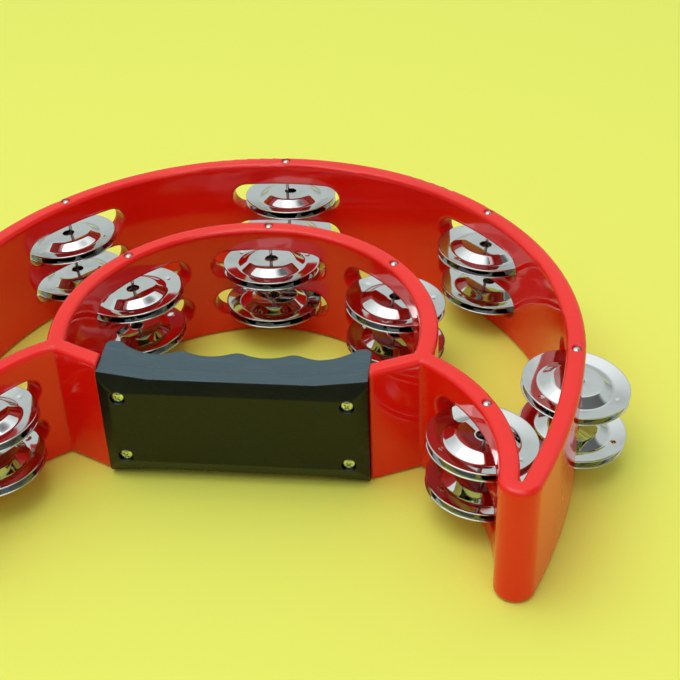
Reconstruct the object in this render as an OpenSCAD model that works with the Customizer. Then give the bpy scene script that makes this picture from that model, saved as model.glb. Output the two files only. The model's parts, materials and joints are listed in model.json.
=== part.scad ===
// Half-moon tambourine: a moulded wall frame, two rows of loose jingles on pins, and a screwed-on grip.
// Millimetres, +Z up. The frame stands on Z = 0, the grip faces -Y and the round back faces +Y.
// The origin is the middle of the outline that the frame and its jingles cover.

/* [Frame] */
// Radius of the outer row of pins, about the centre of both arcs
outer_pin_r = 126; // [118:1:152]
// Radius of the inner row of pins, about the same centre
inner_pin_r = 71; // [66:1:76]
// Height of the frame
height = 52; // [48:1:64]
// Thickness of the frame's wall
wall_t = 7.2; // [6:0.1:8.8]
// Rounding of the wall's top and bottom edges
edge_r = 2; // [0.8:0.1:2.6]
// Angle from the back, on each side, where the outer arc eases into its flatter side
side_angle = 94; // [90:0.5:98]
// Radius of the flatter sides
side_r = 240; // [200:5:320]
// How far the round tips' centres lie in front of the arcs' centre
tip_depth = 80; // [72:1:86]
// Radius left in the notch inside each tip
tip_notch_r = 0.4; // [0.2:0.1:2]
// Angle from the back, on each side, where the inner arch meets its front arm
arch_angle = 102.3; // [100:0.1:106]
// Radius of the front arms
arm_r = 70; // [60:1:90]
// Step between one length of wall and the next that it runs into
seam = 0.03; // [0.02:0.01:0.1]

/* [Jingles] */
// Angle between neighbouring pins of the outer row
outer_step = 46.75; // [40:0.25:47]
// Angle between neighbouring pins of the inner row
inner_step = 50.3; // [46:0.1:52]
// Wall left between an arm's slots and its inner end
arm_land = 11.5; // [8:0.5:16]
// Diameter of a jingle
jingle_d = 41; // [34:0.5:42]
// Diameter of the hole in a jingle
jingle_hole_d = 5.3; // [4.6:0.1:7]
// Thickness of the jingle's sheet
sheet_t = 0.5; // [0.4:0.05:0.8]
// Width of a jingle's outer flange, from the rim to the valley
flange_w = 6.3; // [5:0.1:7.5]
// Width of the cone between the valley and the flat crown
cone_w = 4.3; // [4:0.1:6]
// Height of the crown above the valley
crown_h = 2.6; // [1.6:0.1:3.2]
// Height that the outer flange flares above the valley
flare_h = 1.2; // [0.6:0.1:2]
// Radius of the bends in the sheet
bend_r = 2; // [1:0.1:3]
// Number of spacing dimples pressed into the flange
dimple_count = 3; // [2:1:6]
// Distance from the rim to the dimples' centres
dimple_edge = 4; // [2:0.1:4.5]
// Radius of the ball that presses a dimple
dimple_r = 1.1; // [0.8:0.1:1.4]
// Depth of a dimple
dimple_h = 0.35; // [0.2:0.05:0.5]
// Gap between the two jingles of a pair at rest
pair_gap = 0.25; // [0.15:0.05:0.4]
// Gap between a pair at rest and the slot's floor
seat_gap = 0.15; // [0.1:0.05:0.3]
// How far a jingle at rest sits off its pin
settle = 1.3; // [0:0.1:1.4]
// Angle by which a pair at rest leans, its side nearest the player up
lean = 6; // [0:0.5:7]

/* [Slots] */
// Height of a slot
slot_h = 12.8; // [11:0.1:13.5]
// Room at each end of a slot beyond the jingle
slot_end_room = 4; // [3:0.1:5]
// Distance between the middles of the upper and lower slots
deck_pitch = 19.2; // [18:0.1:22]

/* [Pins] */
// Diameter of a pin
pin_d = 1.4; // [1.2:0.1:2]
// Diameter of a pin's head
pin_head_d = 3.4; // [3:0.1:4]
// Height of the domed head
pin_head_h = 0.9; // [0.6:0.1:1.2]
// Clearance round the head in its recess
recess_fit = 0.2; // [0.1:0.05:0.5]
// Depth of that recess
recess_h = 0.8; // [0.6:0.1:1.2]
// Clearance round the pin in the frame
pin_fit = 0.03; // [0.02:0.01:0.08]
// Wall left below a pin's end
pin_land = 3; // [2:0.5:6]

/* [Handle] */
// Length of the handle
handle_len = 100.8; // [84:0.2:104]
// Step from the frame's top and bottom to the handle's
handle_inset = 4; // [3:0.5:6]
// Distance in front of the arcs' centre where the two halves meet
parting_depth = 24; // [23:0.1:25]
// Distance from that joint to the front plate's face
front_depth = 9; // [8:0.1:11]
// Distance from that joint to the front edge of the handle's level top
shoulder_depth = 6.8; // [5.5:0.1:7.5]
// How much the handle's top and bottom flare outwards at its ends
handle_flare = 2.1; // [0.5:0.1:2.8]
// Half length of the level middle of the handle, between the flares
level_half = 31; // [20:1:36]
// Margin from the handle's ends to the front plate
plate_end = 4; // [2:0.1:6]
// Margin from the handle's top and bottom to the front plate
plate_side = 5.5; // [3:0.1:7]
// Distance from the joint to the bottoms of the finger grooves
groove_depth = 8.4; // [7.5:0.1:10]
// Height of the crests between the grooves
crest_h = 2.5; // [1.5:0.1:3]
// Radius of those crests
crest_r = 6; // [4:0.5:7.5]
// Length of the horn at each end, beyond the last groove
horn_len = 7.4; // [6:0.1:9]
// Distance from the joint to the backs of the two end horns
horn_depth = 13.8; // [12:0.1:15]
// Rounding of the horns
horn_r = 3; // [1:0.1:4]
// Thickness of the handle's shells
shell_t = 2.4; // [1.8:0.1:3]
// Thickness of the frame's bar inside the handle
bar_t = 4.4; // [3.6:0.1:5]
// Handle left above and below that bar
bar_edge = 5; // [4:0.1:6]
// Gap between each end of the handle and the strut beside it
end_gap = 0.3; // [0.2:0.1:1]
// Clearance between the handle and the bar
bar_fit = 0.15; // [0.05:0.05:0.3]

/* [Screws] */
// Distance from the handle's ends to the screws
screw_end = 7.6; // [7:0.1:12]
// Distance from the handle's top and bottom to the screws
screw_edge = 8; // [7.5:0.1:10]
// Diameter of a screw's shank
screw_d = 2.6; // [2.2:0.1:3]
// Diameter of its head
screw_head_d = 4.6; // [4.2:0.1:5.2]
// Height of its head
screw_head_h = 1.6; // [1.2:0.1:2]
// Diameter of the counterbore
counterbore_d = 5.7; // [5.4:0.1:6.4]
// Depth of the counterbore
counterbore_h = 1.8; // [1.4:0.1:2.1]
// Clearance round the shank in the cover and the bar
screw_clear = 0.2; // [0.1:0.05:0.4]
// Clearance round the shank in the rear half
thread_fit = 0.03; // [0.02:0.01:0.06]
// Diameter of the bosses that carry the screws
boss_d = 7; // [6.4:0.1:8]
// Length of shank held in the rear half
screw_bite = 7; // [5:0.5:8]

/* [Hidden] */
$fn = 64;
eps = 0.01;
DECKS = ["lower", "upper"];
SIDES = ["bottom", "top"];

// Points on the plan, in the frame of the two arcs' common centre
function polar(r, a) = r * [cos(a), sin(a)];
function heading(v) = atan2(v.y, v.x);
// The point r1 from p and r2 from q that lies to the left of the way from p to q
function meet(p, r1, q, r2) =
    let (d = norm(q - p), along = (r1 * r1 - r2 * r2 + d * d) / (2 * d))
    p + along * (q - p) / d + sqrt(r1 * r1 - along * along) * [-(q - p).y, (q - p).x] / d;

tip_r = wall_t / 2 + tip_notch_r;
side_centre = -(side_r - outer_pin_r) * [sin(side_angle), cos(side_angle)];
tip_reach = side_r - tip_r;
tip_rise = tip_depth + side_centre.y;
tip_centre = [side_centre.x + sqrt(tip_reach * tip_reach - tip_rise * tip_rise), -tip_depth];
junction = inner_pin_r * [sin(arch_angle), cos(arch_angle)];
arm_centre = meet(tip_centre, arm_r + tip_r, junction, arm_r);
arm_start = heading(junction - arm_centre);

// How far a length of wall that is drawn in runs into its neighbours
seam_run = 0.3;

slot_len = jingle_d + 2 * slot_end_room;
slot_reach = 2 * (wall_t + slot_len * slot_len / (8 * min(inner_pin_r, arm_r)));
arm_pin_angle = arm_start - (slot_len / 2 + arm_land) / arm_r * 180 / PI;
arm_pin = arm_centre + polar(arm_r, arm_pin_angle);

// Each station is a pin's place and the direction that its slots run through the wall
STATIONS = concat(
    [for (i = [-2:2]) [polar(outer_pin_r, 90 - i * outer_step), 90 - i * outer_step]],
    [for (i = [-1:1]) [polar(inner_pin_r, 90 - i * inner_step), 90 - i * inner_step]],
    [[[-arm_pin.x, arm_pin.y], 180 - arm_pin_angle], [arm_pin, arm_pin_angle]]
);
function station_name(s) = str(s < 9 ? "0" : "", s + 1);
function pin_name(s) = str("pin_", station_name(s));
function jingle_name(s, deck, side) = str("jingle_", station_name(s), "_", DECKS[deck], "_", SIDES[side]);

// Half a pair's thickness, and the room that it takes above and below its middle once it leans
pair_half = crown_h + sheet_t + pair_gap / 2;
pair_room = pair_half * cos(lean) + tan(lean) * (wall_t / 2 + settle + pair_half * sin(lean));
// Heights of each slot's floor and of the middle of its pair
function slot_floor(deck) = height / 2 + (deck - 0.5) * deck_pitch - slot_h / 2;
function mating_z(deck) = slot_floor(deck) + seat_gap + pair_room;
// The way that the lower and the upper pair of each station have slid off the pin
SLID = [
    [-120, -55, 180, -30, -60, -95, -75, -70, -30, 150],
    [135, -120, 0, -130, 45, -70, -75, -70, 30, 150]
];
function settled(s, deck) = settle * polar(1, SLID[deck][s]);

// The middle of the outline, from the outermost jingle at the back to the fronts of the tips
outline_back = outer_pin_r + jingle_d / 2;
outline_front = -tip_depth - tip_r - wall_t / 2;
arc_centre_y = -(outline_back + outline_front) / 2;

// A jingle's circles, the angles of its cone and flange, and its bends' radius at the middle of the sheet
valley_d = jingle_d - 2 * flange_w;
crown_d = valley_d - 2 * cone_w;
dimple_ring_d = jingle_d - 2 * dimple_edge;
cone_angle = atan2(crown_h, cone_w);
flare_angle = atan2(flare_h, flange_w);
sheet_bend_r = bend_r + sheet_t / 2;
bend_steps = 6;
groove_count = 4;

// Handle levels, depths and the parting line's place
handle_h = height - 2 * handle_inset;
bar_h = handle_h - 2 * bar_edge;
bar_z = (height - bar_h) / 2;
bar_len = handle_len + 2 * end_gap;
// A strut runs on past the handle's end, where it is cut off, along the line to the bar's end
strut_end = junction + ([bar_len / 2, -parting_depth] - junction) * 1.5;
groove_pitch = (handle_len - 2 * horn_len) / groove_count;
groove_r = (groove_pitch * groove_pitch / 4 + crest_h * crest_h) / (2 * crest_h) - crest_r;
groove_y = groove_depth + groove_r;
crest_y = groove_depth + crest_h - crest_r;
// The height where a groove's curve turns into a crest's
swap_y = groove_y + (crest_y - groove_y) * groove_r / (groove_r + crest_r);
screw_span = handle_len - 2 * screw_end;
screw_rise = handle_h - 2 * screw_edge;
screw_len = front_depth - counterbore_h + bar_t / 2 + screw_bite;

module from_arc_centre() {
    translate([0, arc_centre_y, 0]) children();
}

module both_sides() {
    children();
    mirror([1, 0, 0]) children();
}

// A rectangle about the origin with its four corners rounded
module round_rect(w, h, r) {
    square([w - 2 * r, h], center = true);
    square([w, h - 2 * r], center = true);
    for (x = [-1, 1], y = [-1, 1]) translate([x * (w / 2 - r), y * (h / 2 - r)]) circle(r);
}

// The wall's section, drawn in by a number of seam steps
module wall_section(steps = 0) {
    translate([0, height / 2]) round_rect(wall_t - 2 * steps * seam, height - 2 * steps * seam, edge_r);
}

// The wall swept round a centre, from one direction anticlockwise to another; one that is drawn in
// runs a little way into its neighbours
module wall_arc(centre, r, from, to, steps = 0) {
    run_in = steps * seam_run / r * 180 / PI;
    translate(centre) rotate(from - run_in) rotate_extrude(angle = to - from + 2 * run_in)
        translate([r, 0]) wall_section(steps);
}

// A round post a little thicker than the wall
module wall_post(place) {
    translate(place) rotate_extrude() intersection() {
        translate([0, height / 2]) round_rect(wall_t + 4 * seam, height, edge_r);
        square([wall_t, height]);
    }
}

module wall_straight(from, to, steps) {
    translate(from) rotate(heading(to - from)) rotate([90, 0, 90])
        linear_extrude(norm(to - from)) wall_section(steps);
}

// One side's flat flank, hairpin tip and front arm
module flank() {
    to_tip = heading(tip_centre - side_centre);
    to_arm = heading(arm_centre - tip_centre);
    wall_arc(side_centre, side_r, to_tip, 90 - side_angle, 1);
    wall_arc(tip_centre, tip_r, to_arm - 360 * (to_arm > 0 ? 1 : 0), to_tip);
    wall_arc(arm_centre, arm_r, heading(tip_centre - arm_centre), arm_start, 1);
}

// The strut from the junction to the handle, cut square to the handle's length
module strut() {
    wall_post(junction);
    difference() {
        wall_straight(junction, strut_end, 2);
        translate([-bar_len / 2, -2 * inner_pin_r, -eps]) cube([bar_len, 2 * inner_pin_r, height + 2 * eps]);
    }
}

// The thinner bar that the handle's halves close round
module bar() {
    translate([-bar_len / 2 - 1, -parting_depth - bar_t / 2, bar_z]) cube([bar_len + 2, bar_t, bar_h]);
}

module slot_shape() {
    square([slot_len - slot_h, slot_h], center = true);
    for (x = [-1, 1]) translate([x * (slot_len - slot_h) / 2, 0]) circle(d = slot_h);
}

// The two slots, the pin's hole and its head's recess at one station
module station_cuts(place, direction) {
    translate(place) rotate(direction) {
        for (deck = [0, 1]) translate([0, 0, slot_floor(deck) + slot_h / 2]) rotate([90, 0, 90])
            linear_extrude(slot_reach, center = true) slot_shape();
        translate([0, 0, pin_land]) cylinder(d = pin_d + 2 * pin_fit, h = height);
        translate([0, 0, height - recess_h]) cylinder(d = pin_head_d + 2 * recess_fit, h = 2 * recess_h);
    }
}

module screw_places() {
    for (x = [-1, 1], z = [-1, 1])
        translate([x * screw_span / 2, -parting_depth, height / 2 + z * screw_rise / 2])
            rotate([90, 0, 0]) children();
}

module frame() {
    color("red") from_arc_centre() difference() {
        union() {
            wall_arc([0, 0], outer_pin_r, 90 - side_angle, 90 + side_angle);
            wall_arc([0, 0], inner_pin_r, 90 - arch_angle, 90 + arch_angle);
            both_sides() {
                flank();
                strut();
            }
            bar();
        }
        for (s = STATIONS) station_cuts(s[0], s[1]);
        screw_places() cylinder(d = screw_d + 2 * screw_clear, h = 2 * bar_t, center = true);
    }
}

// A bend of the sheet: points from one direction to another round a centre
function bend(centre, r, from, to) =
    [for (i = [0:bend_steps]) centre + polar(r, from + (to - from) * i / bend_steps)];

// One face of a pressed jingle's sheet, from the hole to the rim, at a height above the sheet's middle
function sheet_face(lift) =
    let (
        crown = [crown_d / 2 - sheet_bend_r * tan(cone_angle / 2), crown_h - sheet_bend_r],
        turn = sheet_bend_r * tan((cone_angle + flare_angle) / 2),
        valley = [valley_d / 2, 0] + turn * polar(1, flare_angle) + sheet_bend_r * polar(1, 90 + flare_angle)
    )
    concat(
        [[jingle_hole_d / 2, crown_h + lift]],
        bend(crown, sheet_bend_r + lift, 90, 90 - cone_angle),
        bend(valley, sheet_bend_r - lift, 270 - cone_angle, 270 + flare_angle),
        [[jingle_d / 2, flare_h] + lift * polar(1, 90 + flare_angle)]
    );

// The section of a jingle, its valley's inner face on Z = 0 and its crown up
module jingle_section() {
    inner = sheet_face(-sheet_t / 2);
    outer = sheet_face(sheet_t / 2);
    translate([0, sheet_t / 2]) polygon(concat(inner, [for (i = [len(outer) - 1:-1:0]) outer[i]]));
}

module jingle() {
    rise = flare_h * (flange_w - dimple_edge) / flange_w;
    difference() {
        union() {
            rotate_extrude() jingle_section();
            for (i = [1:dimple_count]) rotate(i * 360 / dimple_count)
                translate([dimple_ring_d / 2, 0, rise + dimple_r - dimple_h]) sphere(dimple_r);
        }
        for (i = [1:dimple_count]) rotate(i * 360 / dimple_count)
            translate([dimple_ring_d / 2, 0, rise + sheet_t + dimple_r - dimple_h]) sphere(dimple_r);
    }
}

// A jingle of one station: the side says whether its crown faces down or up
module placed_jingle(s, deck, side) {
    place = STATIONS[s][0] + settled(s, deck);
    direction = STATIONS[s][1];
    color("gainsboro") from_arc_centre() translate([place.x, place.y, mating_z(deck)])
        rotate(direction) rotate([0, lean, 0]) translate([0, 0, (side - 0.5) * pair_gap])
            mirror([0, 0, 1 - side]) rotate(40 * s + 60 * side) jingle();
}

module pin(s) {
    dome_r = (pin_head_d * pin_head_d / 4 + pin_head_h * pin_head_h) / (2 * pin_head_h);
    place = STATIONS[s][0];
    color("silver") from_arc_centre() translate([place.x, place.y, 0]) {
        translate([0, 0, pin_land + pin_fit]) cylinder(d = pin_d, h = height - recess_h - pin_land - pin_fit);
        translate([0, 0, height - recess_h]) rotate_extrude() intersection() {
            translate([0, pin_head_h - dome_r]) circle(dome_r);
            square([pin_head_d, pin_head_d]);
        }
    }
}

// The room that the bar takes inside the handle, open at both ends
module bar_room() {
    translate([-handle_len, -parting_depth - bar_t / 2 - bar_fit, bar_z - bar_fit])
        cube([2 * handle_len, bar_t + 2 * bar_fit, bar_h + 2 * bar_fit]);
}

// A hollow inside one half, reaching from the joint to a depth, with the screws' bosses left standing
module shell_room(from, to) {
    difference() {
        translate([-handle_len / 2 + shell_t, -parting_depth + from, bar_z - bar_fit])
            cube([handle_len - 2 * shell_t, to - from, bar_h + 2 * bar_fit]);
        screw_places() cylinder(d = boss_d, h = 4 * front_depth, center = true);
    }
}

// The handle's outline seen from the front, run on past the ends by a length
module flared(front, back, past) {
    half = handle_len / 2 + past;
    rise = handle_h / 2;
    tall = rise + handle_flare * (half - level_half) / (handle_len / 2 - level_half);
    translate([0, back - parting_depth, height / 2]) rotate([90, 0, 0]) linear_extrude(front + back) polygon([
        [-half, -tall], [-level_half, -rise], [level_half, -rise], [half, -tall],
        [half, tall], [level_half, rise], [-level_half, rise], [-half, tall]
    ]);
}

// Section of a block that narrows from a span at the shoulder to the front plate
module bevelled(span, margin) {
    slope = margin / (front_depth - shoulder_depth);
    wide = span / 2 + slope * shoulder_depth / 2;
    narrow = span / 2 - margin - slope;
    polygon([
        [-wide, 1], [-wide, -shoulder_depth / 2], [-narrow, -front_depth - 1],
        [narrow, -front_depth - 1], [wide, -shoulder_depth / 2], [wide, 1]
    ]);
}

module handle_front() {
    color("dimgray") from_arc_centre() difference() {
        intersection() {
            flared(front_depth, 0, 0);
            translate([0, -parting_depth, -1]) linear_extrude(height + 2) bevelled(handle_len, plate_end);
            translate([-handle_len, -parting_depth, height / 2]) rotate([0, 90, 0])
                linear_extrude(2 * handle_len) bevelled(handle_h, plate_side);
        }
        bar_room();
        shell_room(shell_t - front_depth, eps);
        screw_places() {
            cylinder(d = screw_d + 2 * screw_clear, h = 2 * front_depth);
            translate([0, 0, front_depth - counterbore_h]) cylinder(d = counterbore_d, h = front_depth);
        }
    }
}

// The rear half's outline, from the joint back to the finger grooves
module grip_outline() {
    half = handle_len / 2;
    last = groove_count - 1;
    grooves = [for (i = [0:last]) (i - last / 2) * groove_pitch];
    intersection() {
        translate([-half, 0]) square([handle_len, horn_depth]);
        union() {
            difference() {
                union() {
                    translate([-half, 0]) square([handle_len, horn_depth - horn_r]);
                    translate([-half + horn_r, 0]) square([handle_len - 2 * horn_r, horn_depth]);
                    for (x = [-1, 1]) translate([x * (half - horn_r), horn_depth - horn_r]) circle(horn_r);
                }
                for (x = grooves) translate([x, groove_y]) circle(groove_r);
                translate([grooves[0], swap_y]) square([grooves[last] - grooves[0], horn_depth]);
            }
            for (i = [1:last]) translate([(grooves[i - 1] + grooves[i]) / 2, crest_y]) circle(crest_r);
        }
    }
}

module handle_rear() {
    color("dimgray") from_arc_centre() difference() {
        intersection() {
            flared(1, horn_depth + 1, 1);
            translate([0, -parting_depth, -1]) linear_extrude(height + 2) grip_outline();
        }
        bar_room();
        shell_room(-eps, groove_depth - shell_t);
        screw_places() translate([0, 0, -bar_t / 2 - screw_bite - thread_fit])
            cylinder(d = screw_d + 2 * thread_fit, h = 2 * screw_bite);
    }
}

// A pan-head screw with a cross recess, its head's seat on Z = 0 and its shank down
module screw() {
    difference() {
        union() {
            translate([0, 0, -screw_len]) cylinder(d = screw_d, h = screw_len);
            cylinder(d = screw_head_d, h = screw_head_h / 2);
            translate([0, 0, screw_head_h / 2]) intersection() {
                cylinder(d = screw_head_d, h = screw_head_h / 2);
                translate([0, 0, screw_head_h / 2 - screw_head_d]) sphere(screw_head_d);
            }
        }
        for (a = [45, 135]) rotate(a) translate([-screw_d / 2, -screw_d / 8, screw_head_h / 2])
            cube([screw_d, screw_d / 4, screw_head_h]);
    }
}

module screws() {
    color("gold") from_arc_centre() screw_places()
        translate([0, 0, front_depth - counterbore_h]) screw();
}

frame();
handle_front();
handle_rear();
screws();
for (s = [0:9]) pin(s);
for (s = [0:9], deck = [0, 1], side = [0, 1])
    placed_jingle(s, deck, side);
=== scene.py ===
"""Looks of a half-moon tambourine: red moulded frame, loose bright jingles on pins, black grooved handle.

Lengths are metres in the part's own frame: +X along the handle, +Y to the round back, +Z up, floor at Z = 0.
"""

import json
import logging
import math
from dataclasses import dataclass
from enum import Enum
from typing import Any, List, Mapping, Sequence, Tuple, Union

import bmesh
import bpy
from mathutils import Matrix, Vector


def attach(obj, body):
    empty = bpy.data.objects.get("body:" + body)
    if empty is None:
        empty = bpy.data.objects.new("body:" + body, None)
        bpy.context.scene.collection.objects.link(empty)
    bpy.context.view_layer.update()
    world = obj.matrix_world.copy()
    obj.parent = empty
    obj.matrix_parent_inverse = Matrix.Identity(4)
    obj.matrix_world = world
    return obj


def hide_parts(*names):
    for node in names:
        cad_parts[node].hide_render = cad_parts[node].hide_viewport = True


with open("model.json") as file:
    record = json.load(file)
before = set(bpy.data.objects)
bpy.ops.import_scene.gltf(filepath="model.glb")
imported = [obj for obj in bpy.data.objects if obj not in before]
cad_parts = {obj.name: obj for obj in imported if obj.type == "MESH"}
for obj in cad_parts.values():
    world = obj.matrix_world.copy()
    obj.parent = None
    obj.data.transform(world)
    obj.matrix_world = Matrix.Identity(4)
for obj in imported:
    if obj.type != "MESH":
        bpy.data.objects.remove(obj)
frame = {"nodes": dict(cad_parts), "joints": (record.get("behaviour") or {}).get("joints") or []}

LOG = logging.getLogger("tambourine")
Colour = Tuple[float, float, float]
Place = Tuple[float, float, float]
Span = Tuple[float, float]
Stops = Sequence[Tuple[float, Colour]]
Value = Union["Sock", float, int, Sequence[float]]
Inputs = Mapping[Union[str, int], Value]
PLASTIC_IOR = 1.5
BEVEL_SAMPLES = 6


def from_screen(red: int, green: int, blue: int) -> Colour:
    """Turn a screen colour into the linear one that shaders take.

    Args:
        red: Red from 0 to 255.
        green: Green from 0 to 255.
        blue: Blue from 0 to 255.

    Returns:
        The three linear values, from 0 to 1.
    """
    def linear(step: int) -> float:
        """Linear value of one screen step."""
        share = step / 255
        return share / 12.92 if share <= 0.04045 else ((share + 0.055) / 1.055) ** 2.4

    return linear(red), linear(green), linear(blue)


class Sock:
    """An output socket that takes part in Python arithmetic."""

    def __init__(self, tree: "Tree", socket: bpy.types.NodeSocket) -> None:
        """Keep the socket and its tree."""
        self.tree = tree
        self.socket = socket

    def math(self, operation: str, first: Value, second: Value) -> "Sock":
        """The result of a Math node on two values or sockets."""
        node = self.tree.add("ShaderNodeMath", {"operation": operation}, {0: first, 1: second})
        return self.tree.out(node)

    def __add__(self, other: Value) -> "Sock":
        """Sum."""
        return self.math("ADD", self, other)

    def __radd__(self, other: Value) -> "Sock":
        """Sum, reflected."""
        return self.math("ADD", other, self)

    def __sub__(self, other: Value) -> "Sock":
        """Difference."""
        return self.math("SUBTRACT", self, other)

    def __rsub__(self, other: Value) -> "Sock":
        """Difference, reflected."""
        return self.math("SUBTRACT", other, self)

    def __mul__(self, other: Value) -> "Sock":
        """Product."""
        return self.math("MULTIPLY", self, other)

    def __rmul__(self, other: Value) -> "Sock":
        """Product, reflected."""
        return self.math("MULTIPLY", other, self)

    def __truediv__(self, other: Value) -> "Sock":
        """Quotient."""
        return self.math("DIVIDE", self, other)

    def __rtruediv__(self, other: Value) -> "Sock":
        """Quotient, reflected."""
        return self.math("DIVIDE", other, self)

    def __pow__(self, other: Value) -> "Sock":
        """Power."""
        return self.math("POWER", self, other)

    def __rpow__(self, other: Value) -> "Sock":
        """Power, reflected."""
        return self.math("POWER", other, self)

    def between(self, low: float, high: float) -> "Sock":
        """Ease from 0 at low to 1 at high.

        Args:
            low: The value that gives 0.
            high: The value that gives 1.

        Returns:
            The eased value.
        """
        node = self.tree.add("ShaderNodeMapRange", {"interpolation_type": "SMOOTHSTEP"},
                             {"Value": self, "From Min": low, "From Max": high})
        return self.tree.out(node, "Result")


class Tree:
    """The nodes of a material, of the world or of a modifier."""

    def __init__(self, graph: bpy.types.NodeTree, output: str) -> None:
        """Empty the graph and give it a new output node.

        Args:
            graph: The graph that holds the nodes.
            output: Type name of its output node.
        """
        self.graph = graph
        graph.nodes.clear()
        self.output = self.add(output, {}, {})

    def add(self, kind: str, settings: Mapping[str, Any], inputs: Inputs) -> bpy.types.Node:
        """Add any node.

        Args:
            kind: The node's type name.
            settings: Its own settings, set first; "stops" holds a colour ramp's stops.
            inputs: Values or links by socket name or number.

        Returns:
            The node.
        """
        node = self.graph.nodes.new(kind)
        for name, value in settings.items():
            if name == "stops":
                self._stops(node.color_ramp, value)
            else:
                setattr(node, name, value)
        for name, value in inputs.items():
            self._join(node.inputs[name], value)
        return node

    def _join(self, place: bpy.types.NodeSocket, value: Value) -> None:
        """Link a socket to an input, or set the input's own value.

        Args:
            place: The input socket.
            value: A wrapped socket, a number, or a colour or vector.
        """
        if isinstance(value, Sock):
            self.graph.links.new(value.socket, place)
        elif isinstance(value, (int, float)):
            place.default_value = value
        else:
            room = len(place.default_value)
            place.default_value = tuple(value) + (1.0,) * (room - len(value))

    @staticmethod
    def _stops(ramp: bpy.types.ColorRamp, stops: Stops) -> None:
        """Put a ramp's stops in place.

        Args:
            ramp: The ramp.
            stops: Each stop's place and colour, in order.
        """
        while len(ramp.elements) < len(stops):
            ramp.elements.new(1.0)
        for element, (place, colour) in zip(ramp.elements, stops):
            element.position = place
            element.color = (*colour, 1.0)

    def out(self, node: bpy.types.Node, name: Union[str, int] = 0) -> Sock:
        """The wrapped output of a node."""
        return Sock(self, node.outputs[name])

    def place(self) -> Sock:
        """Object coordinates, in metres."""
        return self.out(self.add("ShaderNodeTexCoord", {}, {}), "Object")

    def stretched(self, place: Sock, scale: Sequence[float]) -> Sock:
        """Coordinates scaled along each axis."""
        node = self.add("ShaderNodeVectorMath", {"operation": "MULTIPLY"}, {0: place, 1: scale})
        return self.out(node)

    def noise(self, place: Sock, scale: float, detail: float = 3.0, rough: float = 0.5) -> Sock:
        """Soft noise from 0 to 1.

        Args:
            place: Where it is read.
            scale: Features to the metre.
            detail: Octaves of finer noise.
            rough: Strength of the finer octaves.

        Returns:
            The noise's value.
        """
        node = self.add("ShaderNodeTexNoise", {},
                        {"Vector": place, "Scale": scale, "Detail": detail, "Roughness": rough})
        return self.out(node, "Fac")

    def blend(self, share: Value, first: Value, second: Value) -> Sock:
        """Mix two colours: a share of 0 gives the first and 1 the second."""
        node = self.add("ShaderNodeMix", {"data_type": "RGBA"}, {0: share, 6: first, 7: second})
        return self.out(node, 2)

    def bump(self, height: Sock, strength: float, distance: float, inputs: Mapping[str, Value]) -> Sock:
        """Turn heights into normals.

        Args:
            height: The height, from 0 to 1.
            strength: Share of the effect.
            distance: The real height of 1, in metres.
            inputs: Further inputs, such as a Normal to start from.

        Returns:
            The bent normals.
        """
        node = self.add("ShaderNodeBump", {},
                        {"Height": height, "Strength": strength, "Distance": distance, **inputs})
        return self.out(node)

    def rounded(self, radius: float) -> Sock:
        """Normals that round off every edge by a radius."""
        return self.out(self.add("ShaderNodeBevel", {"samples": BEVEL_SAMPLES}, {"Radius": radius}))

    def show(self, node: bpy.types.Node) -> None:
        """Send a node's result to the output."""
        self._join(self.output.inputs[0], self.out(node))


def new_paint(name: str) -> Tuple[bpy.types.Material, Tree]:
    """Make an empty material.

    Args:
        name: The material's name.

    Returns:
        The material and the tree that paints it.
    """
    material = bpy.data.materials.new(name)
    material.use_nodes = True
    return material, Tree(material.node_tree, "ShaderNodeOutputMaterial")


@dataclass(frozen=True)
class MouldedRed:
    """Polished red moulding: even colour, faint flow marks, a soft ripple and fine handling marks."""

    deep: Colour = from_screen(238, 20, 10)
    bright: Colour = from_screen(246, 29, 15)
    gloss: float = 0.07
    shine: float = 0.5
    flow_stretch: Place = (1.0, 1.0, 0.35)
    flow_scale: float = 28.0
    flow_span: Span = (0.3, 0.7)
    flow_share: float = 0.8
    grain_scale: float = 900.0
    grain_share: float = 0.2
    smear: float = 0.08
    smear_stretch: Place = (1.0, 1.0, 3.0)
    smear_scale: float = 60.0
    smear_span: Span = (0.46, 0.74)
    ripple: float = 0.000012
    ripple_scale: float = 130.0
    edge_round: float = 0.002

    def make(self) -> bpy.types.Material:
        """Build the material.

        Returns:
            The new material.
        """
        material, paint = new_paint("moulded_red")
        place = paint.place()
        drawn = paint.stretched(place, self.flow_stretch)
        flow = paint.noise(drawn, self.flow_scale, detail=4.0).between(*self.flow_span)
        grain = paint.noise(place, self.grain_scale, detail=2.0)
        level = paint.stretched(place, self.smear_stretch)
        smears = paint.noise(level, self.smear_scale, detail=5.0, rough=0.62).between(*self.smear_span)
        ripples = paint.noise(place, self.ripple_scale, detail=1.5)
        tone = flow * self.flow_share + grain * self.grain_share
        shader = paint.add("ShaderNodeBsdfPrincipled", {}, {
            "Base Color": paint.blend(tone, self.deep, self.bright),
            "Roughness": self.gloss + smears * self.smear,
            "IOR": PLASTIC_IOR,
            "Specular IOR Level": self.shine,
            "Normal": paint.bump(ripples, 1.0, self.ripple, {"Normal": paint.rounded(self.edge_round)}),
        })
        paint.show(shader)
        return material


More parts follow.
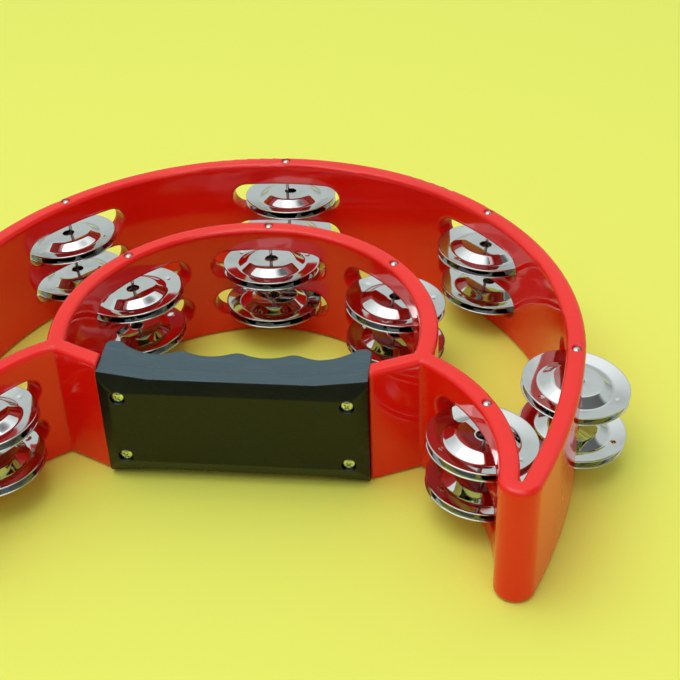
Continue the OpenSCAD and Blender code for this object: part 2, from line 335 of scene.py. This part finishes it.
@dataclass(frozen=True)
class BrightPlate:
    """Bright plate over pressed steel: mirror gloss, spin lines round the hub, small scuffs."""

    clear: Colour = from_screen(210, 212, 213)
    dull: Colour = from_screen(184, 184, 182)
    gloss: float = 0.03
    scuff: float = 0.06
    scuff_scale: float = 160.0
    scuff_span: Span = (0.55, 0.78)
    scuff_share: float = 0.3
    tarnish_scale: float = 70.0
    tarnish_span: Span = (0.45, 0.8)
    tarnish_share: float = 0.6
    line_pitch: float = 0.00022
    line_depth: float = 0.000004
    line_strength: float = 0.35
    line_rough: float = 0.03
    line_wander: float = 0.0012
    wander_scale: float = 90.0
    wave: float = 0.00002
    wave_scale: float = 120.0
    piece_shift: Place = (3.0, 7.0, 5.0)

    def make(self) -> bpy.types.Material:
        """Build the material.

        Returns:
            The new material.
        """
        material, paint = new_paint("bright_plate")
        place = paint.place()
        parts = paint.add("ShaderNodeSeparateXYZ", {}, {0: place})
        across, along = paint.out(parts, "X"), paint.out(parts, "Y")
        radius = (across * across + along * along) ** 0.5
        wander = paint.noise(place, self.wander_scale, detail=2.0) * self.line_wander
        line_place = paint.add("ShaderNodeCombineXYZ", {}, {"X": (radius + wander) / self.line_pitch})
        lines = paint.noise(paint.out(line_place), 1.0, detail=2.0, rough=0.6)
        seed = paint.out(paint.add("ShaderNodeObjectInfo", {}, {}), "Random")
        steps = {axis: seed * step for axis, step in zip("XYZ", self.piece_shift)}
        spot = paint.out(paint.add("ShaderNodeCombineXYZ", {}, steps))
        shifted = paint.out(paint.add("ShaderNodeVectorMath", {"operation": "ADD"}, {0: place, 1: spot}))
        scuffs = paint.noise(shifted, self.scuff_scale, detail=5.0, rough=0.65).between(*self.scuff_span)
        tarnish = paint.noise(shifted, self.tarnish_scale, detail=3.0).between(*self.tarnish_span)
        waves = paint.noise(shifted, self.wave_scale, detail=1.0)
        worn = tarnish * self.tarnish_share + scuffs * self.scuff_share
        shader = paint.add("ShaderNodeBsdfPrincipled", {}, {
            "Base Color": paint.blend(worn, self.clear, self.dull),
            "Metallic": 1.0,
            "Roughness": self.gloss + scuffs * self.scuff + lines * self.line_rough,
            "Normal": paint.bump(waves, 1.0, self.wave, {
                "Normal": paint.bump(lines, self.line_strength, self.line_depth, {})}),
        })
        paint.show(shader)
        return material


@dataclass(frozen=True)
class DrawnSteel:
    """Drawn steel pin: lines along its length and a slightly duller tone than the jingles."""

    tone: Colour = from_screen(214, 212, 208)
    shade: Colour = from_screen(150, 146, 142)
    gloss: float = 0.2
    line_stretch: Place = (1.0, 1.0, 0.02)
    line_scale: float = 6000.0
    line_share: float = 0.5
    line_rough: float = 0.12
    line_strength: float = 0.3
    line_depth: float = 0.00001
    spot_scale: float = 900.0
    spot_span: Span = (0.5, 0.75)
    spot_share: float = 0.3

    def make(self) -> bpy.types.Material:
        """Build the material.

        Returns:
            The new material.
        """
        material, paint = new_paint("drawn_steel")
        place = paint.place()
        lines = paint.noise(paint.stretched(place, self.line_stretch), self.line_scale, detail=2.0)
        spots = paint.noise(place, self.spot_scale, detail=3.0).between(*self.spot_span)
        worn = lines * self.line_share + spots * self.spot_share
        shader = paint.add("ShaderNodeBsdfPrincipled", {}, {
            "Base Color": paint.blend(worn, self.tone, self.shade),
            "Metallic": 1.0,
            "Roughness": self.gloss + lines * self.line_rough,
            "Normal": paint.bump(lines, self.line_strength, self.line_depth, {}),
        })
        paint.show(shader)
        return material


@dataclass(frozen=True)
class SatinBlack:
    """Satin black moulding: fine texture, drag streaks, rubbed patches, and upward faces painted grey-blue: a
    painted sheen of the bright sky, mixed with settled dust.
    """

    base: Colour = from_screen(4, 10, 5)
    rubbed: Colour = from_screen(15, 19, 17)
    # Grey-blue painted sheen of the sky on upward faces, partly settled dust.
    sheen_and_dust: Colour = from_screen(72, 98, 107)
    gloss: float = 0.24
    shine: float = 0.36
    grain_scale: float = 2600.0
    grain_rough: float = 0.05
    grain_strength: float = 0.6
    grain_height: float = 0.000008
    streak_stretch: Place = (1.0, 14.0, 14.0)
    streak_scale: float = 45.0
    streak_span: Span = (0.5, 0.78)
    streak_share: float = 0.35
    streak_polish: float = 0.06
    patch_scale: float = 55.0
    patch_span: Span = (0.42, 0.75)
    patch_share: float = 0.4
    patch_rough: float = 0.08
    sheen_and_dust_facing: Span = (0.75, 0.97)
    sheen_and_dust_even: float = 0.7
    sheen_and_dust_streak: float = 0.3
    edge_round: float = 0.0007

    def make(self) -> bpy.types.Material:
        """Build the material.

        Returns:
            The new material.
        """
        material, paint = new_paint("satin_black")
        place = paint.place()
        grain = paint.noise(place, self.grain_scale, detail=2.0)
        drawn = paint.stretched(place, self.streak_stretch)
        streaks = paint.noise(drawn, self.streak_scale, detail=4.0, rough=0.6).between(*self.streak_span)
        patches = paint.noise(place, self.patch_scale, detail=4.0).between(*self.patch_span)
        normal = paint.out(paint.add("ShaderNodeNewGeometry", {}, {}), "Normal")
        facing = paint.out(paint.add("ShaderNodeSeparateXYZ", {}, {0: normal}), "Z")
        # Painted sheen: faces that point up are blended toward a grey-blue that stands in for the bright
        # sky's reflection, partly settled dust, and it is stronger along the streaks.
        sheen_and_dust_share = facing.between(*self.sheen_and_dust_facing) * (self.sheen_and_dust_even + self.sheen_and_dust_streak * streaks)
        wear = streaks * self.streak_share + patches * self.patch_share
        worn = paint.blend(wear, self.base, self.rubbed)
        dulled = self.gloss + patches * self.patch_rough
        shader = paint.add("ShaderNodeBsdfPrincipled", {}, {
            "Base Color": paint.blend(sheen_and_dust_share, worn, self.sheen_and_dust),
            "Roughness": dulled - streaks * self.streak_polish + grain * self.grain_rough,
            "IOR": PLASTIC_IOR,
            "Specular IOR Level": self.shine,
            "Normal": paint.bump(grain, self.grain_strength, self.grain_height, {
                "Normal": paint.rounded(self.edge_round)}),
        })
        paint.show(shader)
        return material


@dataclass(frozen=True)
class YellowPlate:
    """Yellow plated screw: warm metal, fine lines along its length and darker patches at random."""

    tone: Colour = from_screen(218, 224, 192)
    shade: Colour = from_screen(112, 118, 78)
    gloss: float = 0.16
    spot_scale: float = 800.0
    spot_span: Span = (0.4, 0.75)
    spot_share: float = 0.6
    spot_rough: float = 0.08
    line_stretch: Place = (1.0, 0.05, 1.0)
    line_scale: float = 3000.0
    line_rough: float = 0.1
    line_strength: float = 0.3
    line_depth: float = 0.00001
    edge_round: float = 0.00015

    def make(self) -> bpy.types.Material:
        """Build the material.

        Returns:
            The new material.
        """
        material, paint = new_paint("yellow_plate")
        place = paint.place()
        spots = paint.noise(place, self.spot_scale, detail=4.0, rough=0.6).between(*self.spot_span)
        lines = paint.noise(paint.stretched(place, self.line_stretch), self.line_scale, detail=2.0)
        shader = paint.add("ShaderNodeBsdfPrincipled", {}, {
            "Base Color": paint.blend(spots * self.spot_share, self.tone, self.shade),
            "Metallic": 1.0,
            "Roughness": self.gloss + lines * self.line_rough + spots * self.spot_rough,
            "Normal": paint.bump(lines, self.line_strength, self.line_depth, {
                "Normal": paint.rounded(self.edge_round)}),
        })
        paint.show(shader)
        return material


def dress(target: bpy.types.Object, material: bpy.types.Material) -> None:
    """Give an object one material in place of those it came with."""
    target.data.materials.clear()
    target.data.materials.append(material)


@dataclass
class EvenShading:
    """Modifiers that weld a node's faces and shade it smooth except at its real edges."""

    weld_distance: float
    edge_angle: float = math.radians(32)
    face_weight: int = 80

    def __post_init__(self) -> None:
        """Build the node group that every dressed node shares."""
        self.group = bpy.data.node_groups.new("smooth_by_angle", "GeometryNodeTree")
        for way in ("INPUT", "OUTPUT"):
            self.group.interface.new_socket("Geometry", in_out=way, socket_type="NodeSocketGeometry")
        tree = Tree(self.group, "NodeGroupOutput")
        source = tree.out(tree.add("NodeGroupInput", {}, {}))
        weld = tree.add("GeometryNodeMergeByDistance", {},
                        {"Geometry": source, "Distance": self.weld_distance})
        angle = tree.out(tree.add("GeometryNodeInputMeshEdgeAngle", {}, {}), "Unsigned Angle")
        flat = tree.add("FunctionNodeCompare", {"data_type": "FLOAT", "operation": "LESS_THAN"},
                        {0: angle, 1: self.edge_angle})
        faces = tree.add("GeometryNodeSetShadeSmooth", {"domain": "FACE"}, {"Geometry": tree.out(weld)})
        edges = tree.add("GeometryNodeSetShadeSmooth", {"domain": "EDGE"},
                         {"Geometry": tree.out(faces), "Shade Smooth": tree.out(flat)})
        tree.show(edges)

    def give(self, target: bpy.types.Object) -> None:
        """Put the modifiers on one object.

        Args:
            target: The object.
        """
        smooth = target.modifiers.new("smooth_by_angle", "NODES")
        smooth.node_group = self.group
        weighted = target.modifiers.new("weighted_normals", "WEIGHTED_NORMAL")
        weighted.keep_sharp = True
        weighted.weight = self.face_weight


class Side(Enum):
    """Which way a jingle's crown faces."""

    BOTTOM = "bottom"
    TOP = "top"


@dataclass
class Jingle:
    """One pressed jingle: flat crown, cone, rounded valley, flared flange, dimples and a rolled rim."""

    radius: float = 0.0205
    hole_radius: float = 0.00265
    sheet: float = 0.0005
    flange: float = 0.0063
    cone: float = 0.0043
    crown_height: float = 0.0026
    flare_height: float = 0.0012
    bend_radius: float = 0.002
    dimples: int = 3
    dimple_edge: float = 0.004
    dimple_radius: float = 0.0011
    dimple_depth: float = 0.00035
    dimple_fall: float = 1.3
    steps_round: int = 144
    crown_steps: int = 6
    bend_steps: int = 7
    cone_steps: int = 4
    flange_steps: int = 12
    lip_steps: int = 4

    def arc(self, centre: Vector, radius: float, start: float, end: float, steps: int) -> List[Vector]:
        """Points along an arc of the section between two directions in radians, both ends included."""
        turns = [start + (end - start) * i / steps for i in range(steps + 1)]
        return [centre + radius * Vector((math.cos(a), math.sin(a))) for a in turns]

    def line(self, start: Vector, end: Vector, steps: int) -> List[Vector]:
        """Evenly spaced points along a straight run of the section, both ends included."""
        return [start.lerp(end, i / steps) for i in range(steps + 1)]

    def face(self, lift: float) -> List[Vector]:
        """One face of the sheet, from the hole to the rim.

        Args:
            lift: Height of the face above the middle of the sheet.

        Returns:
            Points as distance from the axis and height.
        """
        valley = self.radius - self.flange
        slope = math.atan2(self.crown_height, self.cone)
        flare = math.atan2(self.flare_height, self.flange)
        bend = self.bend_radius + self.sheet / 2
        along = Vector((math.cos(flare), math.sin(flare)))
        square = Vector((-math.sin(flare), math.cos(flare)))
        crown = Vector((valley - self.cone - bend * math.tan(slope / 2), self.crown_height - bend))
        trough = Vector((valley, 0)) + bend * math.tan((slope + flare) / 2) * along + bend * square
        rim = Vector((self.radius, self.flare_height)) + lift * square
        hub = Vector((self.hole_radius + self.sheet / 3, self.crown_height + lift))
        outer_bend = self.arc(crown, bend + lift, math.pi / 2, math.pi / 2 - slope, self.bend_steps)
        down = 1.5 * math.pi
        inner_bend = self.arc(trough, bend - lift, down - slope, down + flare, self.bend_steps)
        reach = rim - self.sheet / 3 * along
        points = self.line(hub, outer_bend[0], self.crown_steps) + outer_bend[1:-1]
        points += self.line(outer_bend[-1], inner_bend[0], self.cone_steps) + inner_bend[1:-1]
        return points + self.line(inner_bend[-1], reach, self.flange_steps)

    def section(self) -> List[Vector]:
        """The closed section: lower face out to the rim, round it, and back along the upper face.

        Returns:
            Points as distance from the axis and height.
        """
        half = self.sheet / 2
        lower, upper = self.face(-half), self.face(half)
        rim = (lower[-1] + upper[-1]) / 2
        hub = (lower[0] + upper[0]) / 2
        flare = math.atan2(self.flare_height, self.flange)
        lip = self.arc(rim, half, flare - math.pi / 2, flare + math.pi / 2, self.lip_steps)[1:-1]
        well = self.arc(hub, half, math.pi / 2, 1.5 * math.pi, self.lip_steps)[1:-1]
        return lower + lip + upper[::-1] + well

    def pressed(self, place: Vector) -> Vector:
        """Push a point down where a dimple is.

        Args:
            place: The point on the plain sheet.

        Returns:
            The point on the pressed sheet.
        """
        ring = self.radius - self.dimple_edge
        depth = 0.0
        for i in range(self.dimples):
            turn = math.tau * (i + 1) / self.dimples
            away = math.hypot(place.x - ring * math.cos(turn), place.y - ring * math.sin(turn))
            depth += self.dimple_depth * math.exp(-(self.dimple_fall * away / self.dimple_radius) ** 2)
        return place - Vector((0, 0, depth))

    def mesh(self) -> bpy.types.Mesh:
        """Spin the section round the axis, crown up, joint plane at Z = 0.

        Returns:
            The shell's mesh.
        """
        section = self.section()
        lift = self.sheet / 2
        shell = bmesh.new()
        rings = []
        for step in range(self.steps_round):
            turn = math.tau * step / self.steps_round
            ring = [Vector((p.x * math.cos(turn), p.x * math.sin(turn), p.y + lift)) for p in section]
            rings.append([shell.verts.new(self.pressed(p)) for p in ring])
        count = len(section)
        for step, ring in enumerate(rings):
            after = rings[(step + 1) % len(rings)]
            for i in range(count):
                j = (i + 1) % count
                shell.faces.new((ring[i], after[i], after[j], ring[j]))
        for face in shell.faces:
            face.smooth = True
        bmesh.ops.recalc_face_normals(shell, faces=shell.faces)
        made = bpy.data.meshes.new("jingle_shell")
        shell.to_mesh(made)
        shell.free()
        return made


@dataclass
class JingleSet:
    """Every loose jingle of the part, each riding on its own body."""

    shape: Jingle
    finish: BrightPlate
    pair_gap: float = 0.00025
    turn_step: float = math.radians(40)
    top_turn: float = math.radians(60)

    def build(self, joints: Sequence[Mapping[str, Any]]) -> List[bpy.types.Object]:
        """Put two pressed shells on the axis of each pair.

        Args:
            joints: The part's joints; a pair's lower jingle turns about the pair's own axis.

        Returns:
            The new pieces.
        """
        mesh = self.shape.mesh()
        mesh.materials.append(self.finish.make())
        pieces = []
        for joint in joints:
            if joint["type"] == "hinge":
                lower = joint["child"]
                upper = lower.replace(Side.BOTTOM.value, Side.TOP.value)
                pieces.append(self.place(lower, Side.BOTTOM, mesh, joint))
                pieces.append(self.place(upper, Side.TOP, mesh, joint))
        return pieces

    def place(self, name: str, side: Side, mesh: bpy.types.Mesh,
              joint: Mapping[str, Any]) -> bpy.types.Object:
        """Lay one jingle where its node is.

        Args:
            name: The node's name.
            side: Which way its crown faces.
            mesh: The shared shell.
            joint: The joint that gives the pair's middle and axis.

        Returns:
            The piece.
        """
        piece = bpy.data.objects.new(name.replace("jingle_", "shell_"), mesh)
        bpy.context.scene.collection.objects.link(piece)
        axis = Vector(joint["axis"]).normalized()
        station = int(name.split("_")[1]) - 1
        heading = Matrix.Rotation(math.atan2(axis.y, axis.x), 4, "Z")
        leaning = heading @ Matrix.Rotation(math.acos(axis.z), 4, "Y")
        if side is Side.TOP:
            lift, turn = self.pair_gap / 2, self.turn_step * station + self.top_turn
        else:
            lift, turn = -self.pair_gap / 2, -self.turn_step * station
            leaning = leaning @ Matrix.Rotation(math.pi, 4, "X")
        spin = Matrix.Rotation(turn, 4, "Z")
        piece.matrix_world = Matrix.Translation(Vector(joint["pos_m"]) + lift * axis) @ leaning @ spin
        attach(piece, name)
        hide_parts(name)
        return piece


@dataclass
class RigidParts:
    """The frame, the handle's halves, the pins and the screws: their own solids, smoothed and dressed."""

    seam_weld: float = 0.00006
    fine_weld: float = 0.000002

    def build(self, nodes: Mapping[str, bpy.types.Object]) -> List[bpy.types.Object]:
        """Dress each rigid node, with the finish that the start of its name picks.

        Args:
            nodes: The part's own nodes by name.

        Returns:
            The dressed nodes.
        """
        finishes = {
            "frame": MouldedRed().make(),
            "handle": SatinBlack().make(),
            "pin": DrawnSteel().make(),
            "screw": YellowPlate().make(),
        }
        across_seams, fine = EvenShading(self.seam_weld), EvenShading(self.fine_weld)
        dressed = []
        for name, node in nodes.items():
            start = next((s for s in finishes if name.startswith(s)), None)
            if start:
                shading = across_seams if start == "frame" else fine
                shading.give(node)
                dress(node, finishes[start])
                dressed.append(node)
        return dressed


@dataclass(frozen=True)
class Lamp:
    """One soft rectangular lamp that faces the part."""

    name: str
    place: Place
    size: Tuple[float, float]
    power: float

    def hang(self) -> None:
        """Hang the lamp in its place."""
        data = bpy.data.lights.new(self.name, "AREA")
        data.shape = "RECTANGLE"
        data.size, data.size_y = self.size
        data.energy = self.power
        light = bpy.data.objects.new(self.name, data)
        light.location = self.place
        light.rotation_mode = "QUATERNION"
        light.rotation_quaternion = (-Vector(self.place)).to_track_quat("-Z", "Y")
        bpy.context.scene.collection.objects.link(light)


@dataclass
class Studio:
    """A pale floor, soft lamps, a pale room and the camera."""

    floor_colour: Colour = from_screen(238, 244, 101)
    floor_half: float = 4.0
    floor_drop: float = 0.0001
    floor_rough: float = 0.75
    grain_scale: float = 700.0
    grain_share: float = 0.12
    grain_shade: float = 0.9
    room_light: float = 1.38
    behind_span: Span = (-0.4, 0.25)
    sky_behind: Stops = (
        (0.0, (0.27, 0.29, 0.28)),
        (0.25, (0.48, 0.52, 0.5)),
        (0.58, (0.52, 0.56, 0.54)),
        (0.71, (0.67, 0.71, 0.69)),
        (0.83, (0.9, 0.93, 0.915)),
        (1.0, (1.0, 1.0, 1.0)),
    )
    sky_before: Stops = (
        (0.0, (0.09, 0.09, 0.09)),
        (0.3, (0.21, 0.21, 0.21)),
        (0.6, (0.33, 0.33, 0.33)),
        (0.85, (0.7, 0.7, 0.7)),
        (1.0, (1.0, 1.0, 1.0)),
    )
    screen_way: Place = (0.55, 0.1, 0.829)
    screen_span: Span = (0.88, 0.95)
    screen_colour: Colour = (0.05, 0.05, 0.05)
    screen_share: float = 0.9
    lamps: Tuple[Lamp, ...] = (
        Lamp("overhead", (-0.2, -0.15, 1.2), (0.9, 0.9), 4.1),
        Lamp("front", (0.25, -0.9, 0.95), (0.8, 0.8), 0.5),
    )
    camera_place: Place = (0.0905, -0.4572, 0.3664)
    azimuth: float = 0.124
    elevation: float = 0.639
    roll: float = 0.039
    lens: float = 74.61
    sensor: float = 36.0
    nearest: float = 0.01

    def floor(self) -> None:
        """Lay the floor."""
        half = self.floor_half
        edge = [(-half, -half, 0), (half, -half, 0), (half, half, 0), (-half, half, 0)]
        mesh = bpy.data.meshes.new("floor")
        mesh.from_pydata(edge, [], [(0, 1, 2, 3)])
        ground = bpy.data.objects.new("floor", mesh)
        ground.location.z = -self.floor_drop
        bpy.context.scene.collection.objects.link(ground)
        material, paint = new_paint("floor_paper")
        grain = paint.noise(paint.place(), self.grain_scale, detail=2.0)
        shaded = tuple(self.grain_shade * c for c in self.floor_colour)
        tint = paint.blend(grain * self.grain_share, self.floor_colour, shaded)
        paper = {"Base Color": tint, "Roughness": self.floor_rough}
        paint.show(paint.add("ShaderNodeBsdfPrincipled", {}, paper))
        dress(ground, material)

    def room(self) -> None:
        """Light the room: brightest overhead, dimmest ahead near the floor, one dark screen on the right."""
        world = bpy.data.worlds.new("room")
        bpy.context.scene.world = world
        world.use_nodes = True
        paint = Tree(world.node_tree, "ShaderNodeOutputWorld")
        way = paint.out(paint.add("ShaderNodeTexCoord", {}, {}), "Generated")
        parts = paint.add("ShaderNodeSeparateXYZ", {}, {0: way})
        height, depth = paint.out(parts, "Z"), paint.out(parts, "Y")
        behind = paint.out(paint.add("ShaderNodeValToRGB", {"stops": self.sky_behind}, {0: height}))
        before = paint.out(paint.add("ShaderNodeValToRGB", {"stops": self.sky_before}, {0: height}))
        sky = paint.blend(depth.between(*self.behind_span), before, behind)
        toward = paint.add("ShaderNodeVectorMath", {"operation": "DOT_PRODUCT"}, {0: way, 1: self.screen_way})
        screened = paint.out(toward, "Value").between(*self.screen_span) * self.screen_share
        colour = paint.blend(screened, sky, self.screen_colour)
        paint.show(paint.add("ShaderNodeBackground", {}, {"Color": colour, "Strength": self.room_light}))

    def camera(self) -> None:
        """Stand the camera where the photograph was taken from."""
        data = bpy.data.cameras.new("camera")
        data.sensor_width = self.sensor
        data.lens = self.lens
        data.clip_start = self.nearest
        camera = bpy.data.objects.new("camera", data)
        bpy.context.scene.collection.objects.link(camera)
        right = Vector((math.cos(self.azimuth), math.sin(self.azimuth), 0))
        level = Vector((-math.sin(self.azimuth), math.cos(self.azimuth), 0))
        ahead = math.cos(self.elevation) * level - Vector((0, 0, math.sin(self.elevation)))
        down = ahead.cross(right)
        across = math.cos(self.roll) * right + math.sin(self.roll) * down
        upward = math.sin(self.roll) * right - math.cos(self.roll) * down
        turn = Matrix((across, upward, -ahead)).transposed().to_4x4()
        camera.matrix_world = Matrix.Translation(self.camera_place) @ turn
        bpy.context.scene.camera = camera

    def build(self) -> None:
        """Set up floor, room, lamps, camera and view settings."""
        self.floor()
        self.room()
        for lamp in self.lamps:
            lamp.hang()
        self.camera()
        bpy.context.scene.view_settings.view_transform = "Standard"


def main() -> None:
    """Build the looks in order."""
    logging.basicConfig(level=logging.INFO, format="%(message)s")
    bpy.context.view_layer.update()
    for node in RigidParts().build(frame["nodes"]):
        LOG.info("dressed %s", node.name)
    for piece in JingleSet(Jingle(), BrightPlate()).build(frame["joints"]):
        LOG.info("laid %s", piece.name)
    Studio().build()
    LOG.info("set up the studio")


if __name__ == "__main__":
    main()
